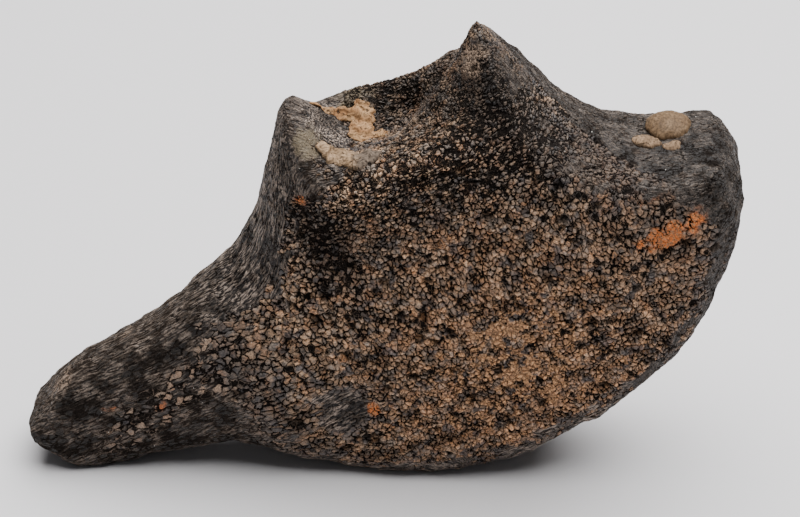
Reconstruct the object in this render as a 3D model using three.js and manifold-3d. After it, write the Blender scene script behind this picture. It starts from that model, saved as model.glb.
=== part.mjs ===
// Broken, worn vertebra of a small baleen whale, lying as it rests on a floor.
//
// Anatomical frame, in mm: x runs to the right as seen from the front face, y from the
// front face to the back face, and z is dorsal, towards the neural canal. Its origin is
// in the middle of the centrum, under the canal. The whole bone is then rolled about y
// until it rests on the underside of the centrum and on the tip of its left process.

import * as THREE from "three";
import { mergeVertices } from "three/addons/utils/BufferGeometryUtils.js";
import Module from "manifold-3d";

const wasm = await Module();
wasm.setup();

const ROLL = 26; // degrees, right side up
const FLOOR_DROP = 88; // from the anatomical origin down to the floor
const GAP = 0.3; // between the bone and what is stuck to it

const CENTRUM = {
  x: -10,
  halfWidth: { left: 95, right: 104 },
  halfHeight: 77.5,
  dorsalHeight: 190, // of the drum's outline above its middle, where the arch stands on it
  tilt: 6.5, // degrees
  halfLength: 25,
  drawIn: 13, // of the back face towards the left process
  dome: 4.5, // bulge of the front face
  dish: 3, // hollow of the back face
  rim: 13, // rounding between the faces and the sides
};

const CANAL = {
  floor: 64,
  rise: 0.2, // of the floor, per mm towards the back
  reach: { left: 40, right: 32 }, // of the floor to either side
  basin: { x: -8, y: 3, depth: 9, width: 19, length: 13 },
  lip: { x: -25, y: 20, height: 3.5, width: 9, length: 7 }, // on its back edge
};

const LEFT_PEDICLE = {
  x: -37,
  apex: 82,
  round: 3.5,
  outerSlope: 1.3,
  innerSlope: 2.6,
  arch: { front: 0.042, back: 0.052 }, // fall of the crest, times y squared
};

const RIGHT_PEDICLE = {
  x: 34.5,
  apex: 84.5,
  innerSlope: 0.86,
  shoulder: { height: 19.5, slope: 0.17 }, // that the outer flank levels out at
  decay: 10.3, // length over which it does so
  crestFall: { front: 1, back: 1.3 }, // per mm towards the faces
  round: 3,
};

const PROCESS = {
  root: -92,
  tip: -180.5,
  level: { root: -7.75, tip: -1.75, length: 22 }, // of its axis
  offset: -7, // of its root towards the front
  sweep: -12, // and of its tip
  height: { tip: 12, flare: 25.75, length: 68 },
  depth: { tip: 14, flare: 6, length: 50 },
  boxy: 2.4, // exponent of the oval section
  facets: { level: 8, dorsal: 2, ventral: 0.28 }, // slopes that the tip is worn to
  shoulder: { height: 27, slope: 0.6 }, // where the stump's flank levels out into it
};

const BREAK = { x: 95, tilt: 6 }; // degrees

// Shells and crusts stuck to the dorsal side: centre, radii, and height above the bone
const STUCK_ON = {
  shell_disc: [{ x: 74.3, y: 8.4, length: 7.2, depth: 8, height: 4.2 }],
  shell_fragment_left: [{ x: 67.2, y: -1.6, length: 4.4, depth: 3.2, height: 2.4 }],
  shell_fragment_right: [{ x: 74.8, y: -4, length: 3.2, depth: 2.3, height: 1.6 }],
  canal_crust_upper: [
    { x: -25, y: 9.6, length: 8.5, depth: 3, height: 3.4 },
    { x: -18.5, y: 10.5, length: 4, depth: 4, height: 2.8 },
    { x: -20.5, y: 3, length: 4.5, depth: 6.5, height: 2.6 },
    { x: -14.5, y: 1, length: 4, depth: 2.4, height: 1.8 },
  ],
  canal_crust_lower: [
    { x: -26, y: -12.5, length: 6, depth: 4.5, height: 1.8 },
    { x: -18.5, y: -16, length: 6.5, depth: 5, height: 1.6 },
  ],
};

const HOLLOWS = [
  { at: [40, -23, 56], radius: 15, depth: 6 }, // in front of the right pedicle
  { at: [-5, 28, 5], radius: 34, depth: 3 }, // in the back face
  { at: [-44, -25, 57], radius: 11, depth: 2.2 }, // beside the left pedicle, in front
  { at: [-43, -26, 38], radius: 13, depth: 2.4 },
  { at: [-4, 11, 58], radius: 6.5, depth: 3.5 }, // a pit in the canal's floor
  { at: [-66, -28, -27], radius: 9, depth: 1 },
  { at: [70, -26, -30], radius: 16, depth: 1.5 },
];

const LOOKS = {
  bone: { color: 0x3b3631, roughness: 0.78 },
  shell: { color: 0x8f7a60, roughness: 0.6 },
  crust: { color: 0xa98f6e, roughness: 0.85 },
};

// Low swells of the worn surface: height, and how far apart their tops are in x and z
const SWELLS = { height: 0.5, spacing: { x: 23, z: 17 } };

const smoothMax = (a, b, r) => {
  const h = Math.max(r - Math.abs(a - b), 0) / r;
  return Math.max(a, b) + (h * h * r) / 4;
};
const smoothMin = (a, b, r) => -smoothMax(-a, -b, r);
const roundAbs = (s, r) => Math.hypot(s, r) - r;

// Height of the dorsal side of the left pedicle stump and the process below it
function leftHeight(x, y) {
  const { x: middle, apex, round, outerSlope, innerSlope, arch } = LEFT_PEDICLE;
  const slope = x < middle ? outerSlope : innerSlope;
  const fallen = (y < 0 ? arch.front : arch.back) * y * y;
  const crest = apex - fallen - slope * roundAbs(x - middle, round);
  const { height, slope: fall } = PROCESS.shoulder;
  const shoulder = height - fallen + fall * Math.min(x - PROCESS.root, 0);
  return x < middle ? smoothMax(crest, shoulder, 32) : crest;
}

// Height of the dorsal side of the right pedicle stump and of the root beside it
function rightHeight(x, y) {
  const { x: middle, apex, innerSlope, shoulder, decay, crestFall, round } = RIGHT_PEDICLE;
  const crest = apex - (y < 0 ? crestFall.front : crestFall.back) * roundAbs(y, round);
  if (x < middle) return crest - innerSlope * roundAbs(x - middle, 1);
  const level = shoulder.height - shoulder.slope * (x - middle);
  return level + (crest - level) * Math.exp(-roundAbs(x - middle, 2) / decay);
}

// Height of the floor of the neural canal
function canalHeight(x, y) {
  const { floor, rise, reach, basin, lip } = CANAL;
  const mound = (at) => Math.exp(-(((x - at.x) / at.width) ** 2) - ((y - at.y) / at.length) ** 2);
  const side = Math.max(x - reach.right, -reach.left - x, 0) * 3;
  return floor + rise * y - basin.depth * mound(basin) + lip.height * mound(lip) - side;
}

function dorsalHeight(x, y) {
  const stumps = smoothMax(leftHeight(x, y), rightHeight(x, y), 2);
  return smoothMax(canalHeight(x, y), stumps, 8);
}

// The centrum: an elliptic drum with rounded rims, cut off by the dorsal side
function centrumField(x, y, z) {
  const { x: middle, halfWidth, halfHeight, dorsalHeight: archHeight } = CENTRUM;
  const { tilt, halfLength, drawIn, dome, dish, rim } = CENTRUM;
  const lift = z - Math.tan(THREE.MathUtils.degToRad(tilt)) * (x - middle);
  const height = lift > 0 ? archHeight : halfHeight;
  const width = x < middle ? halfWidth.left : halfWidth.right;
  const radius = Math.hypot((x - middle) / width, lift / height);
  const side = (radius - 1) * halfHeight;
  const centre = Math.max(1 - radius * radius, 0);
  const back = halfLength - drawIn * THREE.MathUtils.smoothstep(-x, 35, 90);
  const face = y < 0 ? -y - halfLength - dome * centre : y - back + dish * centre;
  const drum = smoothMax(side, face, rim);
  return smoothMax(drum, (z - dorsalHeight(x, y)) * 0.8, 8);
}

// The left transverse process: an oval bar that flares towards its root
function processField(x, y, z) {
  const { root, tip, level: axis, offset, sweep, height, depth, boxy, facets } = PROCESS;
  const s = Math.max(root - x, 0);
  const level = axis.tip + (axis.root - axis.tip) * Math.exp(-s / axis.length);
  const hidden = 12 * THREE.MathUtils.smoothstep(x, root - 5, root + 45);
  const halfHeight = height.tip + height.flare * Math.exp(-s / height.length) - hidden;
  const halfDepth = depth.tip + depth.flare * Math.exp(-s / depth.length);
  const middle = THREE.MathUtils.mapLinear(s, 0, root - tip, offset, sweep);
  const across = Math.abs((y - middle) / halfDepth) ** boxy;
  const oval = (across + Math.abs((z - level) / halfHeight) ** boxy) ** (1 / boxy);
  const side = (oval - 1) * Math.min(halfDepth, halfHeight);
  const slant = z > facets.level ? facets.dorsal : facets.ventral;
  const end = tip - x + slant * Math.abs(z - facets.level);
  return Math.max(smoothMax(side, end, 6), x);
}

// The broken root of the right transverse process
function breakField(x, z) {
  const tilt = THREE.MathUtils.degToRad(BREAK.tilt);
  return (x - BREAK.x) * Math.cos(tilt) + z * Math.sin(tilt);
}

// Shallow erosion hollows, as soft dents in the surface
function hollowField(x, y, z) {
  let dent = 0;
  for (const { at, radius, depth } of HOLLOWS) {
    const away = (x - at[0]) ** 2 + (y - at[1]) ** 2 + (z - at[2]) ** 2;
    dent += depth * Math.exp(-away / radius ** 2);
  }
  return dent;
}

// Height of the swells, which cross the bone at a slant and differ from front to back
function swellHeight(x, y, z) {
  const { height, spacing } = SWELLS;
  const along = (x + 8 * Math.sin(z / 13 + 1) + y) / spacing.x;
  const across = (z + 8 * Math.sin(x / 15) - 0.8 * y) / spacing.z;
  return height * Math.sin(Math.PI * along) * Math.sin(Math.PI * across);
}

function boneField(x, y, z) {
  const blend = 1 + 9 * THREE.MathUtils.smoothstep(-x, 45, 95);
  const body = smoothMin(centrumField(x, y, z), processField(x, y, z), blend);
  const whole = smoothMax(body, breakField(x, z), 6);
  return whole + hollowField(x, y, z) - swellHeight(x, y, z);
}

// Distance along a ray from a point inside to the outermost surface of a field
function reach(field, from, ray, far) {
  const value = (d) => field(from.x + ray.x * d, from.y + ray.y * d, from.z + ray.z * d);
  let outside = far;
  while (outside > 0.5 && value(outside - 0.5) > 0) outside -= 0.5;
  let inside = Math.max(outside - 0.5, 0);
  for (let i = 0; i < 24; i++) {
    const middle = (inside + outside) / 2;
    if (value(middle) > 0) outside = middle;
    else inside = middle;
  }
  return inside;
}

// Spreads a subdivided box around a spine and out to the surface of a field: each slice
// of the box becomes a section of the body, and its two ends become the rounded ends.
function wrap(field, spine, rings, columns) {
  const slices = spine.length - 1;
  const geometry = new THREE.BoxGeometry(2, 2, 2, slices, columns, rings);
  const position = geometry.attributes.position;
  const corner = new THREE.Vector3();
  const side = new THREE.Vector3();
  const ray = new THREE.Vector3();
  for (let i = 0; i < position.count; i++) {
    corner.fromBufferAttribute(position, i);
    const from = spine[Math.round(((corner.x + 1) / 2) * slices)];
    const rim = Math.max(Math.abs(corner.y), Math.abs(corner.z));
    const depth = reach(field, from, ray.set(0, Math.sign(corner.y) || 1, 0), 60);
    side.copy(from).addScaledVector(ray, depth * 0.82);
    const height = reach(field, side, ray.set(0, 0, Math.sign(corner.z) || 1), 160);
    const atEnd = Math.abs(corner.x) > 1 - 1e-6;
    const out = atEnd ? Math.sign(corner.x) * (1 - rim) * depth : 0;
    ray.set(out, corner.y * depth, corner.z * height).normalize();
    corner.copy(from).addScaledVector(ray, reach(field, from, ray, 160));
    position.setXYZ(i, corner.x, corner.y, corner.z);
  }
  geometry.deleteAttribute("normal");
  geometry.deleteAttribute("uv");
  return mergeVertices(geometry, 1e-4);
}

function toSolid(geometry) {
  const merged = mergeVertices(geometry.clone(), 1e-4);
  return new wasm.Manifold(
    new wasm.Mesh({
      numProp: 3,
      vertProperties: new Float32Array(merged.attributes.position.array),
      triVerts: new Uint32Array(merged.index.array),
    }),
  );
}

function toGeometry(solid) {
  const mesh = solid.getMesh();
  const geometry = new THREE.BufferGeometry();
  geometry.setAttribute("position", new THREE.BufferAttribute(mesh.vertProperties, 3));
  geometry.setIndex(new THREE.BufferAttribute(mesh.triVerts, 1));
  return geometry;
}

// Points inside the bone, from the left process to the broken right root. Their even
// steps put a section through the apex of each pedicle stump.
function spineOfBone() {
  const step = (RIGHT_PEDICLE.x - LEFT_PEDICLE.x) / 19;
  const spine = [];
  for (let i = -34; i <= 31; i++) {
    const y = PROCESS.sweep * THREE.MathUtils.clamp((-3 - i) / 31, 0, 1);
    spine.push(new THREE.Vector3(LEFT_PEDICLE.x + i * step, y, PROCESS.level.tip));
  }
  return spine;
}

// Everything below the floor, in the anatomical frame
function belowFloor(restPose) {
  const block = new THREE.BoxGeometry(500, 200, 60);
  block.deleteAttribute("normal");
  block.deleteAttribute("uv");
  block.translate(0, 0, -30);
  return toSolid(block.applyMatrix4(restPose.clone().invert()));
}

// The bone, worn flat where it touches the floor
function buildBone(restPose) {
  return toSolid(wrap(boneField, spineOfBone(), 18, 8)).subtract(belowFloor(restPose));
}

// A flattened blob draped over the dorsal side of the bone
function drapedBlob({ x, y, length, depth, height }) {
  const blob = new THREE.SphereGeometry(1, 16, 10);
  const position = blob.attributes.position;
  const up = new THREE.Vector3(0, 0, 1);
  for (let i = 0; i < position.count; i++) {
    const px = x + length * position.getX(i);
    const py = y + depth * position.getY(i);
    const rise = position.getZ(i);
    const foot = reach(boneField, new THREE.Vector3(px, py, 0), up, 120);
    position.setXYZ(i, px, py, foot + rise * (rise > 0 ? height : 2));
  }
  blob.deleteAttribute("normal");
  blob.deleteAttribute("uv");
  return toSolid(blob);
}

// What is left of joined blobs outside the bone and the gap around it
function buildStuckOn(blobs, bone) {
  const raisedBone = bone.translate([0, 0, GAP]);
  const whole = blobs.map(drapedBlob).reduce((sum, blob) => sum.add(blob));
  const pieces = whole.subtract(raisedBone).decompose();
  pieces.sort((a, b) => b.volume() - a.volume());
  return pieces[0];
}

function makeMesh(name, solid, look) {
  const material = new THREE.MeshStandardMaterial({ ...look, metalness: 0 });
  const mesh = new THREE.Mesh(toGeometry(solid), material);
  mesh.name = name;
  return mesh;
}

// Rolls the anatomical frame about y and lifts it onto the floor
const resting = new THREE.Group();
resting.rotation.y = THREE.MathUtils.degToRad(-ROLL);
resting.position.z = FLOOR_DROP;
resting.updateMatrix();

const bone = buildBone(resting.matrix);
resting.add(makeMesh("vertebra", bone, LOOKS.bone));
for (const [name, blobs] of Object.entries(STUCK_ON)) {
  const look = name.startsWith("shell") ? LOOKS.shell : LOOKS.crust;
  resting.add(makeMesh(name, buildStuckOn(blobs, bone), look));
}

// The middle of the bone's floor area is the origin of the part
const box = new THREE.Box3().setFromObject(resting, true);
const whaleVertebra = new THREE.Group();
whaleVertebra.add(resting);
whaleVertebra.position.set(-(box.min.x + box.max.x) / 2, -(box.min.y + box.max.y) / 2, -box.min.z);

export default whaleVertebra;
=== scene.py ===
"""Looks of the whale vertebra: its eroded skin, what is stuck to it, floor, light and camera.

The anatomical frame is in mm: x to the right as seen from the front face, y from the front
face to the back face, and z dorsal, towards the neural canal. It is rolled about y.
"""

import math

import bpy
import numpy as np
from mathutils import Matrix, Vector, noise


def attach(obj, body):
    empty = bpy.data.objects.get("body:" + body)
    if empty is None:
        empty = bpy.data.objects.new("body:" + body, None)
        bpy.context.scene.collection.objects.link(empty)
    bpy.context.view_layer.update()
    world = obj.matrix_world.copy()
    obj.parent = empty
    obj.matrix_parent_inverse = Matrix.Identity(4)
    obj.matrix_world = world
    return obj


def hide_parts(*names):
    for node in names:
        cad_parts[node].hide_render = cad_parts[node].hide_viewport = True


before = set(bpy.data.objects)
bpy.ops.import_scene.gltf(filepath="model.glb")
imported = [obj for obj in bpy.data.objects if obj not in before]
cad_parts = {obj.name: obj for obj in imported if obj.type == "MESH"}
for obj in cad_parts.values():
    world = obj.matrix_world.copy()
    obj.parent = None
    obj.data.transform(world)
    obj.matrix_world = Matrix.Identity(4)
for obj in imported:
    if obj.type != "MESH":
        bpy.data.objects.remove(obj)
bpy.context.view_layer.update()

MM = 0.001
ROLL = math.radians(26)
ORIGIN = np.array((0.03943, 0.002621, 0.088))  # of the anatomical frame, in metres
AXES = np.array(
    (
        (math.cos(ROLL), 0.0, math.sin(ROLL)),
        (0.0, 1.0, 0.0),
        (-math.sin(ROLL), 0.0, math.cos(ROLL)),
    )
)
PROFILE = np.arange(-220.0, 140.0)  # mm along the axes x and z, past both ends of the bone

SKIN_VOXEL = 1.3 * MM
STUCK_VOXEL = 0.4 * MM
CELL = 1.75  # mm between the middles of the spongy bone's cells
CELL_BEND = 2.6  # mm that noise moves the cells' walls by
HOLLOW_SPACING = 6.5  # mm between hollows where several cells are lost
CRACK_SPACING = 2.5  # across the fibres, in mm
GLINT_SPACING = 3.5  # mm

# Softly bounded places on the bone, in the anatomical frame in mm: middle, radii, and weight
DENTS = (  # their weight is their depth in mm
    ((-4, 11, 58), (5, 4, 5), 2.5),
    ((36, -19, 58), (7, 7, 12), 1.5),
    ((-44, -25, 46), (6, 7, 18), 1.0),
)
COMPACT_PLACES = (((-68, -28, -28), (9, 9, 8), 1.4),)
FILLED_PLACES = (  # with sediment in the cells
    ((-1, -29, -15), (8, 9, 5), 0.65),
    ((-7, -29, -37), (5, 9, 3), 0.65),
    ((-2, -29, -34), (34, 12, 26), 0.48),
    ((66, -27, -5), (8, 12, 4), 0.75),
    ((-34, -13, 71), (5, 9, 6), 0.9),
)
OPEN_PLACES = (  # with wide open cells
    ((20, -25, 52), (45, 22, 18), 0.9),
    ((-45, -25, 38), (14, 20, 30), 0.8),
)
WARM_PLACES = (
    ((-5, -29, -48), (48, 40, 30), 0.9),
    ((75, -25, -20), (18, 30, 30), 0.4),
    ((15, -29, 0), (60, 40, 30), 0.35),
)
BLACK_PLACES = (
    ((35, -17, 61), (17, 16, 20), 1.0),
    ((80, -27, -28), (26, 30, 30), 0.5),
    ((5, -25, 42), (50, 20, 15), 0.35),
    ((-68, -28, -28), (9, 9, 8), 0.8),
    ((-43, -25, 42), (11, 16, 28), 0.8),
    ((2, 12, 60), (30, 20, 15), 0.9),
    ((31, -11, 74), (9, 9, 9), 0.7),
    ((52, -22, 34), (20, 16, 12), 0.5),
    ((68, -24, 10), (26, 30, 18), 0.5),
    ((-27, 6, 63), (5, 5, 6), 0.8),
)
ORANGE_PLACES = (
    ((64, -27, -4), (9, 12, 5), 1.1),
    ((62, -26, 12), (16, 12, 5), 0.25),
    ((-58.5, -28, -31), (3, 8, 4), 0.8),
    ((-128, -24, 0), (5, 9, 4), 0.4),
    ((-146, -24, 6), (4, 9, 3), 0.4),
    ((-44, -24, 56), (3.5, 8, 3), 0.9),
    ((77, -26, -1), (4, 12, 5), 0.6),
)
PALE_PLACES = (
    ((28, -10, 77), (8, 9, 6), 0.9),
    ((-160, -14, 17), (7, 7, 6), 0.8),
    ((-131, -9, 23), (7, 8, 5), 0.5),
    ((27, -15, 62), (3, 8, 10), 0.5),
)
OLIVE_PLACES = (
    ((-34, -13, 71), (5, 9, 6), 1.0),
    ((-22, 16, 64), (12, 9, 8), 0.6),
)

# The processes' dorsal edge sweeps up to the pedicles: x where that ends, height, and length
LEFT_SWEEP = (-37, 60, 26)
RIGHT_SWEEP = (34, 72, 11)
DORSAL_EDGE = 24  # mm above the fibres' own level at the processes' ends


def to_anatomical(points):
    return (points - ORIGIN) / MM @ AXES.T


def vertex_array(mesh, what="co"):
    values = np.empty(len(mesh.vertices) * 3)
    source = mesh.vertices if what == "co" else mesh.vertex_normals
    source.foreach_get("co" if what == "co" else "vector", values)
    return values.reshape(-1, 3)


def set_vertices(mesh, points):
    mesh.vertices.foreach_set("co", points.ravel())
    mesh.update()


def store(mesh, name, values):
    attribute = mesh.attributes.new(name, "FLOAT_VECTOR", "POINT")
    attribute.data.foreach_set("vector", np.ascontiguousarray(values, dtype=np.float32).ravel())


def smoothstep(low, high, values):
    t = np.clip((values - low) / (high - low), 0, 1)
    return t * t * (3 - 2 * t)


def spot(points, middle, radii):
    """1 in the middle of an ellipsoid, fading to 0 about its surface."""
    away = ((points - np.array(middle)) / np.array(radii)) ** 2
    return np.exp(-away.sum(axis=1))


def spots(points, places):
    return sum(weight * spot(points, middle, radii) for middle, radii, weight in places)


def wander(points, size, seed=0.0):
    """Smooth noise from -1 to 1, with swells of about that size."""
    shift = Vector((seed, seed * 2, seed * 3))
    return np.array([noise.noise(Vector(p) / size + shift) for p in points])


def shares(*values):
    """Three shares from 0 to 1 for each vertex, to store as a vector."""
    return np.stack([np.clip(value, 0, 1) for value in values], axis=1)


def copy_node(node, name):
    piece = bpy.data.objects.new(name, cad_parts[node].data.copy())
    piece.data.materials.clear()
    bpy.context.scene.collection.objects.link(piece)
    return piece


def apply_modifiers(piece):
    graph = bpy.context.evaluated_depsgraph_get()
    mesh = bpy.data.meshes.new_from_object(piece.evaluated_get(graph))
    piece.modifiers.clear()
    piece.data = mesh


def remesh(piece, voxel, smoothing):
    modifier = piece.modifiers.new("voxels", "REMESH")
    modifier.mode = "VOXEL"
    modifier.voxel_size = voxel
    modifier = piece.modifiers.new("smooth", "SMOOTH")
    modifier.factor = 0.5
    modifier.iterations = smoothing
    apply_modifiers(piece)


def unwrap(piece):
    bpy.context.view_layer.objects.active = piece
    piece.select_set(True)
    piece.data.uv_layers.new(name="OFBake")
    bpy.ops.object.mode_set(mode="EDIT")
    bpy.ops.mesh.select_all(action="SELECT")
    bpy.ops.uv.smart_project(angle_limit=math.radians(70), island_margin=0.004)
    bpy.ops.object.mode_set(mode="OBJECT")
    piece.select_set(False)


# Node building ---------------------------------------------------------------------------


def feed(tree, socket, value):
    """Links another node's output to a socket, or sets a plain value on it."""
    if isinstance(value, bpy.types.NodeSocket):
        tree.links.new(value, socket)
    else:
        socket.default_value = value


def node(tree, kind, inputs=None, output=0, **settings):
    """Adds a node and returns one of its outputs."""
    made = tree.nodes.new(kind)
    for key, value in settings.items():
        setattr(made, key, value)
    for key, value in (inputs or {}).items():
        feed(tree, made.inputs[key], value)
    return made.outputs[output]


def maths(tree, operation, a, b=0.0):
    return node(tree, "ShaderNodeMath", {0: a, 1: b}, operation=operation)


def plus(tree, a, b):
    return maths(tree, "ADD", a, b)


def minus(tree, a, b):
    return maths(tree, "SUBTRACT", a, b)


def times(tree, a, b):
    return maths(tree, "MULTIPLY", a, b)


def larger(tree, a, b):
    return maths(tree, "MAXIMUM", a, b)


def ramp(tree, value, low, high, out_low=0.0, out_high=1.0):
    return node(
        tree,
        "ShaderNodeMapRange",
        {"Value": value, "From Min": low, "From Max": high, "To Min": out_low, "To Max": out_high},
        interpolation_type="SMOOTHSTEP",
    )


def swayed(tree, value, field, reach):
    """The value, moved up or down by up to that reach where a noise field is high or low."""
    return plus(tree, value, ramp(tree, field, 0.2, 0.8, -reach, reach))


def mix(tree, factor, a, b):
    return node(tree, "ShaderNodeMix", {0: factor, 2: a, 3: b})


def mix_colour(tree, factor, a, b, blend="MIX"):
    settings = {"data_type": "RGBA", "blend_type": blend}
    return node(tree, "ShaderNodeMix", {0: factor, 6: a, 7: b}, output=2, **settings)


def lit(tree, colour, light):
    """The colour, made brighter or darker by that factor."""
    return mix_colour(tree, 1.0, colour, light, blend="MULTIPLY")


def noise_field(tree, vector, size, detail=2.0, output=0):
    inputs = {"Vector": vector, "Scale": 1 / size, "Detail": detail}
    return node(tree, "ShaderNodeTexNoise", inputs, output=output)


def cells(tree, vector, size, feature="F1", output=0):
    """Distance to a cell's middle or edge or, as output 1, a chance colour for each cell."""
    inputs = {"Vector": vector, "Scale": 1 / size, "Randomness": 1.0}
    return node(tree, "ShaderNodeTexVoronoi", inputs, output=output, feature=feature)


def parts(tree, vector):
    made = tree.nodes.new("ShaderNodeSeparateXYZ")
    tree.links.new(vector, made.inputs[0])
    return made.outputs[0], made.outputs[1], made.outputs[2]


def named(tree, name):
    """A stored vector, in geometry nodes or in a shader."""
    if tree.type == "GEOMETRY":
        kind = "GeometryNodeInputNamedAttribute"
        return node(tree, kind, {"Name": name}, data_type="FLOAT_VECTOR")
    return node(tree, "ShaderNodeAttribute", output=1, attribute_name=name)


# The bone's fine structure ---------------------------------------------------------------


def add_cells(tree, pattern, place, open_zone):
    """Cells of the spongy bone, cut through: plates with grooves between them, open holes."""
    unfilled = minus(tree, 1.0, pattern["fill"])
    edge = cells(tree, place, CELL, feature="DISTANCE_TO_EDGE")
    edge = swayed(tree, edge, pattern["lumps"], 0.045)
    cell = cells(tree, place, CELL, output=1)
    chance, tint, shade = parts(tree, cell)
    opened = maths(tree, "LESS_THAN", chance, ramp(tree, open_zone, 0.0, 1.0, 0.06, 0.4))
    hole = times(tree, opened, ramp(tree, edge, 0.07, 0.2))
    hole = times(tree, hole, unfilled)
    width = ramp(tree, pattern["broad"], 0.35, 0.65, 0.115, 0.05)
    width = plus(tree, width, times(tree, open_zone, 0.07))
    groove = ramp(tree, edge, minus(tree, width, 0.08), width, 1.0, 0.0)
    corner = plus(tree, cell.node.outputs[0], times(tree, chance, -0.1))
    groove = larger(tree, groove, ramp(tree, corner, 0.7, 0.92))
    joined = noise_field(tree, named(tree, "anatomy"), 1.9)
    groove = times(tree, groove, ramp(tree, joined, 0.57, 0.66, 1.0, 0.25))
    groove = times(tree, groove, plus(tree, unfilled, 0.3))
    pattern.update(edge=edge, chance=chance, tint=tint, shade=shade, hole=hole, groove=groove)


def add_hollows(tree, pattern, place):
    away = cells(tree, place, HOLLOW_SPACING)
    chance, _, _ = parts(tree, cells(tree, place, HOLLOW_SPACING, output=1))
    away = plus(tree, away, times(tree, pattern["blotch"], 0.3))
    pit = ramp(tree, away, 0.33, 0.5, 1.0, 0.0)
    pit = times(tree, pit, maths(tree, "LESS_THAN", chance, 0.4))
    pattern["pit"] = times(tree, pit, minus(tree, 1.0, pattern["fill"]))


def add_fibres(tree, pattern):
    """Fibres, streaks and cracks of the compact bone, along its flow."""
    flow = named(tree, "flow")
    pattern["fibres"] = noise_field(tree, flow, 0.6, 3.0)
    pattern["streaks"] = noise_field(tree, flow, 2.4, 3.0)
    crack = cells(tree, flow, CRACK_SPACING, feature="DISTANCE_TO_EDGE")
    crack = ramp(tree, crack, 0.0, 0.07, 1.0, 0.0)
    pattern["crack"] = times(tree, crack, ramp(tree, pattern["blotch"], 0.5, 0.62))


def add_compact(tree, pattern, compact_zone, fibrous):
    """Where the bone is compact: whole zones, and the fibrous ones but for chips."""
    chip = plus(tree, pattern["tint"], times(tree, pattern["blotch"], 2.5))
    chip = ramp(tree, chip, 1.85, 1.95)
    chip = times(tree, chip, ramp(tree, fibrous, 0.7, 1.0, 1.0, 0.0))
    fibrous = ramp(tree, swayed(tree, fibrous, pattern["broad"], 0.35), 0.35, 0.65)
    compact = ramp(tree, swayed(tree, compact_zone, pattern["broad"], 0.35), 0.4, 0.6)
    pattern["compact"] = larger(tree, compact, minus(tree, fibrous, chip))


def spongy_height(tree, pattern):
    height = times(tree, ramp(tree, pattern["edge"], 0.03, 0.3), 0.34)
    for mask, depth in (("groove", 0.42), ("hole", 0.75), ("pit", 0.7)):
        height = minus(tree, height, times(tree, pattern[mask], depth))
    height = plus(tree, height, times(tree, pattern["lumps"], 0.2))
    _, _, rise = parts(tree, named(tree, "anatomy"))
    calm = ramp(tree, pattern["border"], 0.0, 1.0, 1.0, 0.6)
    calm = times(tree, calm, ramp(tree, rise, 45.0, 85.0, 1.0, 0.3))
    return times(tree, height, calm)


def compact_height(tree, pattern, olive):
    height = plus(tree, pattern["fibres"], pattern["streaks"])
    height = node(tree, "ShaderNodeMath", {0: height, 1: 0.6, 2: -0.4}, operation="MULTIPLY_ADD")
    height = minus(tree, height, times(tree, pattern["crack"], 0.35))
    return times(tree, height, minus(tree, 1.0, times(tree, olive, 0.8)))


def bone_pattern(tree):
    """The bone's fine structure, for geometry nodes and for the shader alike: its height in
    mm over the smooth surface, noise fields, and masks from 0 to 1."""
    anatomy, grain = named(tree, "anatomy"), named(tree, "grain")
    compact_zone, fill_zone, open_zone = parts(tree, named(tree, "zones"))
    fibrous, _, olive = parts(tree, named(tree, "extras"))
    pattern = {
        "broad": noise_field(tree, anatomy, 7.0, 3.0),
        "blotch": noise_field(tree, anatomy, 3.2, 3.0),
        "lumps": noise_field(tree, anatomy, 0.9),
        "border": ramp(tree, plus(tree, compact_zone, fibrous), 0.02, 0.4),
    }
    fill = swayed(tree, fill_zone, pattern["blotch"], 0.5)
    fill = swayed(tree, fill, pattern["lumps"], 0.12)
    pattern["fill"] = ramp(tree, fill, 0.42, 0.6)
    bend = noise_field(tree, grain, 2.0, 4.0, output=1)
    bent = {0: bend, 1: (CELL_BEND, CELL_BEND, CELL_BEND), 2: grain}
    bent = node(tree, "ShaderNodeVectorMath", bent, operation="MULTIPLY_ADD")
    add_cells(tree, pattern, bent, open_zone)
    add_hollows(tree, pattern, bent)
    add_fibres(tree, pattern)
    add_compact(tree, pattern, compact_zone, fibrous)
    spongy = spongy_height(tree, pattern)
    solid = compact_height(tree, pattern, olive)
    pattern["height"] = mix(tree, pattern["compact"], spongy, solid)
    return pattern


# The bone's skin -------------------------------------------------------------------------


def erode(mesh):
    """Swells, dents and worn edges, of several mm and more."""
    world = vertex_array(mesh)
    normals = vertex_array(mesh, "normal")
    points = to_anatomical(world)
    facing = normals @ AXES.T
    front = np.abs(facing[:, 1])
    edge = smoothstep(0.15, 0.5, front) * smoothstep(0.97, 0.8, front)
    broken = smoothstep(0.75, 0.95, facing[:, 0]) * smoothstep(75, 85, points[:, 0])
    lift = 0.25 * wander(points, 14.0)
    lift += (0.4 + 0.5 * edge + 0.7 * broken) * wander(points, 7.0, 5.0)
    lift += (0.15 + 0.25 * edge + 0.3 * broken) * wander(points, 3.2, 9.0)
    lift -= spots(points, DENTS)
    on_floor = smoothstep(3 * MM, 0.5 * MM, world[:, 2])
    lift = np.minimum(lift, 0.6) * (1 - on_floor)
    set_vertices(mesh, world + normals * (lift * MM)[:, None])


def stretch(values, stops, rates):
    """Running total of a rate that varies along an axis: fibres are long where it is low."""
    total = np.cumsum(np.interp(PROFILE, stops, rates))
    return np.interp(values, PROFILE, total)


def grain_of(points):
    """Coordinates for the cells, which are larger where the rates are low."""
    x = stretch(points[:, 0], (-110, -75, -50, 45, 75), (0.42, 0.6, 1.0, 1.0, 0.75))
    y = points[:, 1] * (1 + 0.5 * smoothstep(48, 60, points[:, 2]))
    z = stretch(points[:, 2], (-25, 5, 30, 50), (0.95, 0.66, 0.9, 1.6))
    return np.stack((x, y, z), axis=1)


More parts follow.
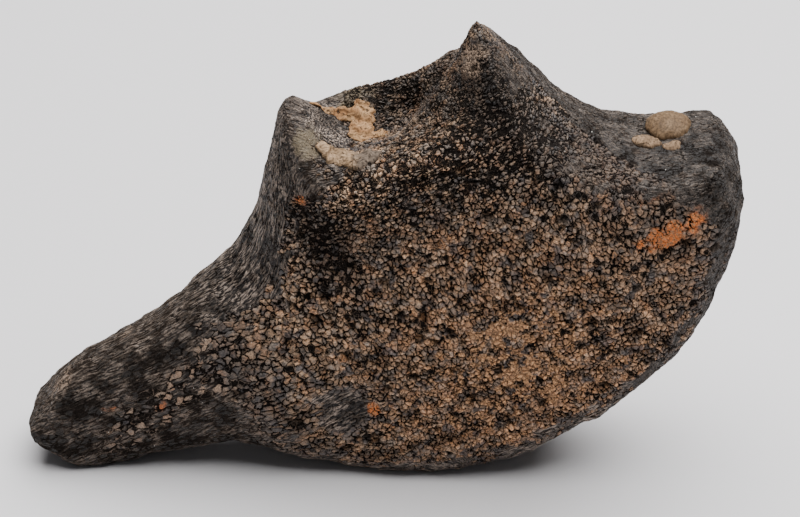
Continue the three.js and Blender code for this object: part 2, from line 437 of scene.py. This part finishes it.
def flow_of(points):
    """Coordinates that follow the fibres of compact bone: along them, and twice across. Seen
    from the front, the fibres run level in the processes and sweep up into the pedicles."""
    left_end, height, length = LEFT_SWEEP
    left = height * np.exp((PROFILE - left_end) / length) / length
    right_end, height, length = RIGHT_SWEEP
    right = -height * np.exp((right_end - PROFILE) / length) / length
    slope = np.where(PROFILE < left_end, left, np.where(PROFILE > right_end, right, 0.0))
    slope = np.convolve(slope, np.ones(9) / 9, mode="same")
    rise = np.cumsum(slope)
    run = np.cumsum(np.hypot(1, slope) * np.interp(PROFILE, (-30, 30), (0.2, 0.35)))
    x = points[:, 0]
    along = np.interp(x, PROFILE, run)
    across = points[:, 2] - np.interp(x, PROFILE, rise)
    across /= np.interp(x, PROFILE, np.hypot(1, slope))
    return np.stack((along, points[:, 1], across), axis=1)


def near_dorsal_edge(points, reach):
    """1 at the dorsal edge of the processes, fading to 0 that far below it."""
    steepness = np.interp(points[:, 0], (-100, -40, 36, 60), (1.1, 2.6, 5, 1.2))
    edge = DORSAL_EDGE / steepness
    return smoothstep(edge - reach, edge, flow_of(points)[:, 2])


def as_seen_in_front(points):
    """The back face gets the front face's large patches, turned left to right."""
    turned = smoothstep(-6, 14, points[:, 1])
    x = points[:, 0] * (1 - 1.9 * turned) - 8 * turned
    x = np.where(points[:, 0] < -95, points[:, 0], x)
    return np.stack((x, points[:, 1] * (1 - 2 * turned), points[:, 2]), axis=1)


def zones_of(points, facing):
    """Compact bone, filled-in pores, and wide open pores."""
    x, y, z = points.T
    front = np.abs(facing[:, 1])
    left_process, right_process = smoothstep(-34, -40, x), smoothstep(32, 38, x)
    left = left_process * smoothstep(-0.05, 0.2, facing[:, 2])
    left *= smoothstep(0.9, 0.68, front)
    right = right_process * smoothstep(-0.35, 0.0, facing[:, 2])
    front_edge = np.interp(x, (38, 50, 70, 90), (6, -3, -19, -26))
    right *= smoothstep(-5, 5, y - front_edge) * smoothstep(0.55, 0.25, facing[:, 1])
    stub = 0.8 * smoothstep(70, 88, x) * smoothstep(-30, 4, z)
    canal = smoothstep(-20, -30, x) * smoothstep(50, 56, z) * smoothstep(0.7, 0.4, front)
    below = 0.6 * smoothstep(0.0, -0.5, facing[:, 2])
    shore = 0.3 * near_dorsal_edge(points, 13) * (right_process + left_process)
    compact = left + right + stub + canal + spots(points, COMPACT_PLACES) + below + shore
    turned = as_seen_in_front(points)
    opened = spots(turned, OPEN_PLACES) + 0.6 * smoothstep(-85, -110, x)
    return shares(compact, spots(turned, FILLED_PLACES), opened)


def tones_of(points, facing):
    """Warm brown and bright orange stains, and black: black stains, painted shade in the canal and
    on up-facing surfaces right of the spike, and darker lower sides.
    """
    front = np.abs(facing[:, 1])
    shore = near_dorsal_edge(points, 10)
    # The canal's floor and back, where it faces up: painted shade.
    canal = smoothstep(0, 12, points[:, 1]) * smoothstep(50, 58, points[:, 2])
    canal *= smoothstep(-0.1, 0.3, facing[:, 2])
    points = as_seen_in_front(points)
    x, _, z = points.T
    warm = spots(points, WARM_PLACES) + 0.9 * shore * smoothstep(48, 58, x)
    black = spots(points, BLACK_PLACES) + 0.45 * canal
    # Painted shade on up-facing surfaces right of the spike.
    black += 0.65 * smoothstep(0.15, 0.6, facing[:, 2]) * smoothstep(28, 40, x)
    black += 0.9 * smoothstep(-70, -100, x) * smoothstep(0.45, 0.8, front)
    # Darker low down where the surface turns away from the front and back faces.
    black += 0.4 * smoothstep(0.93, 0.6, front) * smoothstep(20, -10, z)
    orange = spots(points, ORANGE_PLACES) * (1 + 0.8 * wander(points, 3.5, 21.0))
    return shares(warm, black, orange)


def extras_of(points):
    """Fibrous bone with few plates left, pale stains, and olive stains."""
    x, _, z = points.T
    chipped = np.exp(-(((z - 2 - 0.28 * (x + 120)) / 8) ** 2))
    chipped *= smoothstep(-165, -140, x)
    fibrous = smoothstep(-84, -108, x) * (1 - 0.4 * chipped)
    fibrous += smoothstep(-48, -38, x) * smoothstep(-28, -36, x) * smoothstep(48, 60, z)
    return shares(fibrous, spots(points, PALE_PLACES), spots(points, OLIVE_PLACES))


def relief_modifier(piece):
    tree = bpy.data.node_groups.new("bone_relief", "GeometryNodeTree")
    tree.interface.new_socket("Geometry", in_out="INPUT", socket_type="NodeSocketGeometry")
    tree.interface.new_socket("Geometry", in_out="OUTPUT", socket_type="NodeSocketGeometry")
    source = tree.nodes.new("NodeGroupInput").outputs[0]
    pattern = bone_pattern(tree)
    rise = times(tree, pattern["height"], MM)
    normal = node(tree, "GeometryNodeInputNormal")
    offset = node(tree, "ShaderNodeVectorMath", {0: normal, 3: rise}, operation="SCALE")
    moved = node(tree, "GeometryNodeSetPosition", {"Geometry": source, "Offset": offset})
    tree.links.new(moved, tree.nodes.new("NodeGroupOutput").inputs[0])
    piece.modifiers.new("relief", "NODES").node_group = tree


def make_skin():
    skin = copy_node("vertebra", "bone_skin")
    remesh(skin, SKIN_VOXEL, 3)
    erode(skin.data)
    unwrap(skin)
    modifier = skin.modifiers.new("finer", "SUBSURF")
    modifier.levels = 2
    apply_modifiers(skin)
    points = to_anatomical(vertex_array(skin.data))
    facing = vertex_array(skin.data, "normal") @ AXES.T
    store(skin.data, "anatomy", points)
    store(skin.data, "grain", grain_of(points))
    store(skin.data, "flow", flow_of(points))
    store(skin.data, "zones", zones_of(points, facing))
    store(skin.data, "tones", tones_of(points, facing))
    store(skin.data, "extras", extras_of(points))
    relief_modifier(skin)
    apply_modifiers(skin)
    worn = vertex_array(skin.data)
    worn[:, 2] = np.maximum(worn[:, 2], 0)  # no lower than the floor
    set_vertices(skin.data, worn)
    skin.data.shade_smooth()
    skin.data.materials.append(bone_material())
    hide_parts("vertebra")
    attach(skin, "root")


# The bone's material ---------------------------------------------------------------------

TAN = (0.44, 0.28, 0.17, 1)
GREY_BROWN = (0.22, 0.175, 0.14, 1)
# Dark ash grey, its own colour, with a blue tint that is a painted sheen.
ASH_WITH_BLUE_SHEEN = (0.056, 0.055, 0.061, 1)
DARK_BROWN = (0.035, 0.026, 0.02, 1)
BLACK = (0.011, 0.009, 0.008, 1)
WARM = (0.42, 0.205, 0.095, 1)
OCHRE = (0.5, 0.285, 0.145, 1)
ORANGE = (0.62, 0.16, 0.03, 1)
SLATE = (0.24, 0.19, 0.155, 1)
SLATE_DARK = (0.016, 0.013, 0.012, 1)
STONE = (0.031, 0.025, 0.021, 1)
OLIVE = (0.13, 0.102, 0.066, 1)
PALE = (0.27, 0.19, 0.135, 1)
GLINT = (0.6, 0.57, 0.52, 1)


def new_material(name):
    material = bpy.data.materials.new(name)
    material.use_nodes = True
    tree = material.node_tree
    tree.nodes.clear()
    surface = tree.nodes.new("ShaderNodeBsdfPrincipled")
    output = tree.nodes.new("ShaderNodeOutputMaterial")
    tree.links.new(surface.outputs[0], output.inputs[0])
    return material, tree, surface


def feed_surface(tree, surface, colour, roughness, gloss, height, strength):
    feed(tree, surface.inputs["Base Color"], colour)
    feed(tree, surface.inputs["Roughness"], roughness)
    feed(tree, surface.inputs["Specular IOR Level"], gloss)
    bump = {"Height": height, "Distance": MM, "Strength": strength}
    feed(tree, surface.inputs["Normal"], node(tree, "ShaderNodeBump", bump))


def plate_colour(tree, pattern, warm):
    """Plates from grey brown to tan, in warm patches and ash grey ones with a painted blue sheen,
    and sediment on them.
    """
    blotch = pattern["blotch"]
    tan = plus(tree, blotch, times(tree, pattern["tint"], 0.25))
    plate = mix_colour(tree, ramp(tree, tan, 0.45, 0.8), GREY_BROWN, TAN)
    warmth = times(tree, warm, ramp(tree, blotch, 0.35, 0.65, 0.2, 0.95))
    plate = mix_colour(tree, warmth, plate, WARM)
    patches = noise_field(tree, named(tree, "anatomy"), 4.5, 3.0, output=1)
    rusty, ashen, _ = parts(tree, patches)
    rusty = ramp(tree, rusty, 0.5, 0.64, 0.0, 0.55)
    rusty = plus(tree, rusty, ramp(tree, pattern["chance"], 0.84, 0.9, 0.0, 0.4))
    plate = mix_colour(tree, rusty, plate, WARM)
    plate = mix_colour(tree, ramp(tree, ashen, 0.54, 0.64, 0.0, 0.75), plate, ASH_WITH_BLUE_SHEEN)
    sediment = mix_colour(tree, ramp(tree, pattern["lumps"], 0.3, 0.7), WARM, OCHRE)
    return mix_colour(tree, times(tree, pattern["fill"], 0.85), plate, sediment)


def plate_tone_and_dome_shade(tree, pattern):
    """Random brightness of plates and areas, and painted dome shade: each plate lighter in its
    middle, darker at its edge.
    """
    light = ramp(tree, pattern["shade"], 0.0, 1.0, 0.62, 1.06)
    light = times(tree, light, ramp(tree, pattern["broad"], 0.32, 0.66, 0.55, 1.2))
    light = mix(tree, pattern["fill"], light, 0.85)
    # Painted dome shade: lighter in each plate's middle, darker towards its edge.
    return times(tree, light, ramp(tree, pattern["edge"], 0.0, 0.28, 0.7, 1.4))


def spongy_colour(tree, pattern, warm, black, fibrous):
    """Plates with dark cores and painted dome shade, in places ash grey with a painted blue sheen,
    darker under black stains and painted shade, and above 54 mm dorsally.
    """
    tint = pattern["tint"]
    plate = lit(tree, plate_colour(tree, pattern, warm), plate_tone_and_dome_shade(tree, pattern))
    core = ramp(tree, pattern["edge"], 0.22, 0.36)
    core = times(tree, core, ramp(tree, pattern["chance"], 0.62, 0.66))
    core = times(tree, core, minus(tree, 0.75, pattern["fill"]))
    plate = mix_colour(tree, core, plate, DARK_BROWN)
    ashen = times(tree, pattern["border"], ramp(tree, tint, 0.35, 0.75, 1.2, 0.2))
    ashen = times(tree, larger(tree, black, ashen), 0.65)
    plate = mix_colour(tree, ashen, plate, mix_colour(tree, tint, ASH_WITH_BLUE_SHEEN, SLATE))
    gloom = times(tree, black, ramp(tree, pattern["broad"], 0.3, 0.7, 0.6, 1.0))
    gloom = times(tree, gloom, minus(tree, 1.0, fibrous))
    gloom = ramp(tree, gloom, 0.0, 1.0, 1.0, 0.3)
    _, _, rise = parts(tree, named(tree, "anatomy"))
    gloom = times(tree, gloom, ramp(tree, rise, 54.0, 62.0, 1.0, 0.6))
    return lit(tree, plate, gloom)


def compact_colour(tree, pattern, black, fibrous):
    """Slate fibres in dark streaks, more even and stone grey towards the right."""
    side, _, _ = parts(tree, named(tree, "anatomy"))
    broad = pattern["broad"]
    solid = mix_colour(tree, ramp(tree, pattern["fibres"], 0.43, 0.6), SLATE_DARK, SLATE)
    streak = ramp(tree, pattern["streaks"], 0.36, 0.54, 0.85, 0.0)
    solid = mix_colour(tree, streak, solid, SLATE_DARK)
    even = ramp(tree, side, 15.0, 45.0, 0.0, 0.74)
    solid = mix_colour(tree, even, solid, STONE)
    fine_pit = times(tree, ramp(tree, pattern["lumps"], 0.34, 0.42, 1.0, 0.0), even)
    solid = mix_colour(tree, fine_pit, solid, BLACK)
    light = ramp(tree, plus(tree, broad, pattern["blotch"]), 0.8, 1.2, 0.55, 1.4)
    solid = lit(tree, solid, light)
    solid = mix_colour(tree, times(tree, fibrous, 0.5), solid, DARK_BROWN)
    # Patches of the black mask: black stains and painted shade.
    black_stain_and_shade = times(tree, black, ramp(tree, broad, 0.42, 0.58, 0.9, 0.2))
    solid = mix_colour(tree, black_stain_and_shade, solid, BLACK)
    return mix_colour(tree, pattern["crack"], solid, BLACK)


def bone_material():
    material, tree, surface = new_material("bone")
    anatomy = named(tree, "anatomy")
    pattern = bone_pattern(tree)
    warm, black, orange = parts(tree, named(tree, "tones"))
    fibrous, pale, olive = parts(tree, named(tree, "extras"))
    blotch, lumps = pattern["blotch"], pattern["lumps"]

    # Black in the grooves is the dark cell walls' own colour; black in open holes and in pits
    # where cells are lost is painted shade.
    dark = larger(tree, pattern["groove"], pattern["hole"])
    dark = larger(tree, dark, times(tree, pattern["pit"], 0.7))
    spongy = spongy_colour(tree, pattern, warm, black, fibrous)
    spongy = mix_colour(tree, dark, spongy, BLACK)
    solid = compact_colour(tree, pattern, black, fibrous)
    colour = mix_colour(tree, pattern["compact"], spongy, solid)

    bright = minus(tree, 1.0, dark)
    rust = mix_colour(tree, ramp(tree, lumps, 0.35, 0.65), WARM, ORANGE)
    for stain, tone in ((pale, PALE), (olive, OLIVE), (orange, rust)):
        share = ramp(tree, times(tree, stain, blotch), 0.13, 0.36, 0.0, 0.9)
        colour = mix_colour(tree, times(tree, share, bright), colour, tone)
    speckle = noise_field(tree, anatomy, 0.45)
    colour = lit(tree, colour, ramp(tree, speckle, 0.3, 0.7, 0.6, 1.4))
    glint = ramp(tree, cells(tree, anatomy, GLINT_SPACING), 0.04, 0.07, 1.0, 0.0)
    glint = times(tree, glint, ramp(tree, blotch, 0.56, 0.6))
    colour = mix_colour(tree, glint, colour, GLINT)

    roughness = ramp(tree, lumps, 0.3, 0.7, 0.35, 0.7)
    gloss = ramp(tree, dark, 0.0, 0.6, 0.22, 0.0)
    height = plus(tree, pattern["height"], times(tree, speckle, 0.2))
    feed_surface(tree, surface, colour, roughness, gloss, height, 0.9)
    return material


# What is stuck to it ---------------------------------------------------------------------

SHELL_DARK = (0.105, 0.065, 0.036, 1)
SHELL_LIGHT = (0.17, 0.11, 0.063, 1)
SHELL_MIDDLE = (68, 7, 24)  # that its rings go about, in the anatomical frame in mm
FRAGMENT_DARK = (0.14, 0.09, 0.055, 1)
FRAGMENT_LIGHT = (0.22, 0.145, 0.09, 1)
PLATE_DARK = (0.17, 0.11, 0.062, 1)
PLATE_LIGHT = (0.31, 0.21, 0.13, 1)
PLATE_FADED = (0.125, 0.095, 0.072, 1)
BRANCH_DARK = (0.20, 0.10, 0.044, 1)
BRANCH_LIGHT = (0.34, 0.205, 0.105, 1)


def add_rings(tree, colour, height, broad, middle):
    """Growth rings, about 1.3 mm apart."""
    away = {0: named(tree, "anatomy"), 1: middle}
    away = node(tree, "ShaderNodeVectorMath", away, output=1, operation="DISTANCE")
    away = plus(tree, away, times(tree, broad, 1.5))
    ring = ramp(tree, maths(tree, "SINE", times(tree, away, 5.0)), -1.0, 1.0)
    colour = lit(tree, colour, ramp(tree, ring, 0.0, 1.0, 0.93, 1.04))
    return colour, times(tree, plus(tree, height, ring), 0.05)


def add_pits(tree, colour, height, fine):
    pit = plus(tree, fine, noise_field(tree, named(tree, "anatomy"), 1.8))
    pit = ramp(tree, pit, 0.72, 0.84, 1.0, 0.0)
    colour = mix_colour(tree, times(tree, pit, 0.7), colour, DARK_BROWN)
    return colour, minus(tree, height, times(tree, pit, 0.3))


def stuck_material(name, dark, light, ringed_about=None, faded=None):
    """Mottled from dark to light, with rings or pits, and faded towards the right."""
    material, tree, surface = new_material(name)
    anatomy = named(tree, "anatomy")
    broad = noise_field(tree, anatomy, 4.0, 3.0)
    fine = noise_field(tree, anatomy, 0.7)
    colour = mix_colour(tree, ramp(tree, broad, 0.3, 0.7), dark, light)
    if faded:
        side, _, _ = parts(tree, anatomy)
        side = plus(tree, side, times(tree, broad, 8.0))
        colour = mix_colour(tree, ramp(tree, side, -19.0, -14.0), colour, faded)
    colour = lit(tree, colour, ramp(tree, fine, 0.3, 0.7, 0.6, 1.3))
    height = times(tree, fine, 0.4)
    if ringed_about:
        colour, height = add_rings(tree, colour, height, broad, ringed_about)
    else:
        colour, height = add_pits(tree, colour, height, fine)
    roughness = 0.55 if ringed_about else 0.8
    feed_surface(tree, surface, colour, roughness, 0.1, height, 0.8)
    return material


def make_stuck_on(cad_node, name, ruggedness, growth, material):
    """A shell or crust, sunk a little into the bone so that it grows out of it. Ruggedness
    and growth are in mm."""
    piece = copy_node(cad_node, name)
    remesh(piece, STUCK_VOXEL, 2)
    mesh = piece.data
    normals = vertex_array(mesh, "normal")
    points = to_anatomical(vertex_array(mesh))
    sunk = 0.2 + 0.7 * smoothstep(0.2, -0.3, (normals @ AXES.T)[:, 2])
    ragged = np.stack([wander(points, 2.6, seed) for seed in (11.0, 12.0)], axis=1)
    lift = ruggedness * (wander(points, 3.0, 3.0) + 0.9 * wander(points, 1.3, 4.0)) + growth
    moved = vertex_array(mesh) + normals * (lift * MM)[:, None]
    moved += ragged @ AXES[:2] * (2 * ruggedness * MM)
    moved -= np.outer(sunk * MM, AXES[2])
    set_vertices(mesh, moved)
    store(mesh, "anatomy", points)
    unwrap(piece)
    mesh.shade_smooth()
    mesh.materials.append(material)
    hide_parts(cad_node)
    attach(piece, "root")


def make_shells_and_crusts():
    disc = stuck_material("shell", SHELL_DARK, SHELL_LIGHT, ringed_about=SHELL_MIDDLE)
    fragment = stuck_material("shell_fragment", FRAGMENT_DARK, FRAGMENT_LIGHT)
    plate = stuck_material("plate_crust", PLATE_DARK, PLATE_LIGHT, faded=PLATE_FADED)
    branch = stuck_material("branch_crust", BRANCH_DARK, BRANCH_LIGHT)
    make_stuck_on("shell_disc", "shell_disc_skin", 0.15, 0.5, disc)
    for node_name in ("shell_fragment_left", "shell_fragment_right"):
        make_stuck_on(node_name, node_name + "_skin", 0.4, 0.4, fragment)
    make_stuck_on("canal_crust_upper", "crust_branches", 0.6, -0.2, branch)
    make_stuck_on("canal_crust_lower", "crust_plate", 0.6, 0.2, plate)


# Floor, light and camera -----------------------------------------------------------------

FLOOR_SIZE = 30
FLOOR_COLOUR = (0.73, 0.715, 0.725, 1)
SOFTBOX_PLACE = (0.2, 0.2, 1.1)
SOFTBOX_TARGET = (0, 0, 0.05)
SOFTBOX_SIZE = 1.6
SOFTBOX_WATTS = 47
WORLD_COLOUR = (0.93, 0.95, 1.0, 1)
WORLD_STRENGTH = 0.1
CAMERA_DISTANCE = 0.9
CAMERA_ELEVATION = math.radians(36)
SENSOR_WIDTH = 36
WIDTH_AT_BONE = 0.280  # that the picture takes in at that distance
AIM = (-0.0308, -0.0058)  # right of and above the anatomical origin, on the picture's plane


def make_floor():
    bpy.ops.mesh.primitive_plane_add(size=FLOOR_SIZE)
    floor = bpy.context.object
    floor.name = "floor"
    material, _, surface = new_material("pale_floor")
    surface.inputs["Base Color"].default_value = FLOOR_COLOUR
    surface.inputs["Roughness"].default_value = 0.9
    floor.data.materials.append(material)


def make_light():
    light = bpy.data.lights.new("softbox", "AREA")
    light.shape = "DISK"
    light.size = SOFTBOX_SIZE
    light.energy = SOFTBOX_WATTS
    holder = bpy.data.objects.new("softbox", light)
    holder.location = SOFTBOX_PLACE
    aim = Vector(SOFTBOX_TARGET) - Vector(SOFTBOX_PLACE)
    holder.rotation_euler = aim.to_track_quat("-Z", "Y").to_euler()
    bpy.context.scene.collection.objects.link(holder)


def make_world():
    world = bpy.data.worlds.new("studio")
    bpy.context.scene.world = world
    world.use_nodes = True
    background = world.node_tree.nodes["Background"]
    background.inputs["Color"].default_value = WORLD_COLOUR
    background.inputs["Strength"].default_value = WORLD_STRENGTH


def make_camera():
    view = Vector((0, math.cos(CAMERA_ELEVATION), -math.sin(CAMERA_ELEVATION)))
    right = Vector((1, 0, 0))
    up = right.cross(view)
    origin = Vector(ORIGIN)
    place = origin - view * CAMERA_DISTANCE
    target = origin + right * AIM[0] + up * AIM[1]
    data = bpy.data.cameras.new("camera")
    data.sensor_width = SENSOR_WIDTH
    data.lens = SENSOR_WIDTH * CAMERA_DISTANCE / WIDTH_AT_BONE
    camera = bpy.data.objects.new("camera", data)
    camera.location = place
    camera.rotation_euler = (target - place).to_track_quat("-Z", "Y").to_euler()
    bpy.context.scene.collection.objects.link(camera)
    bpy.context.scene.camera = camera


make_skin()
make_shells_and_crusts()
make_floor()
make_world()
make_light()
make_camera()
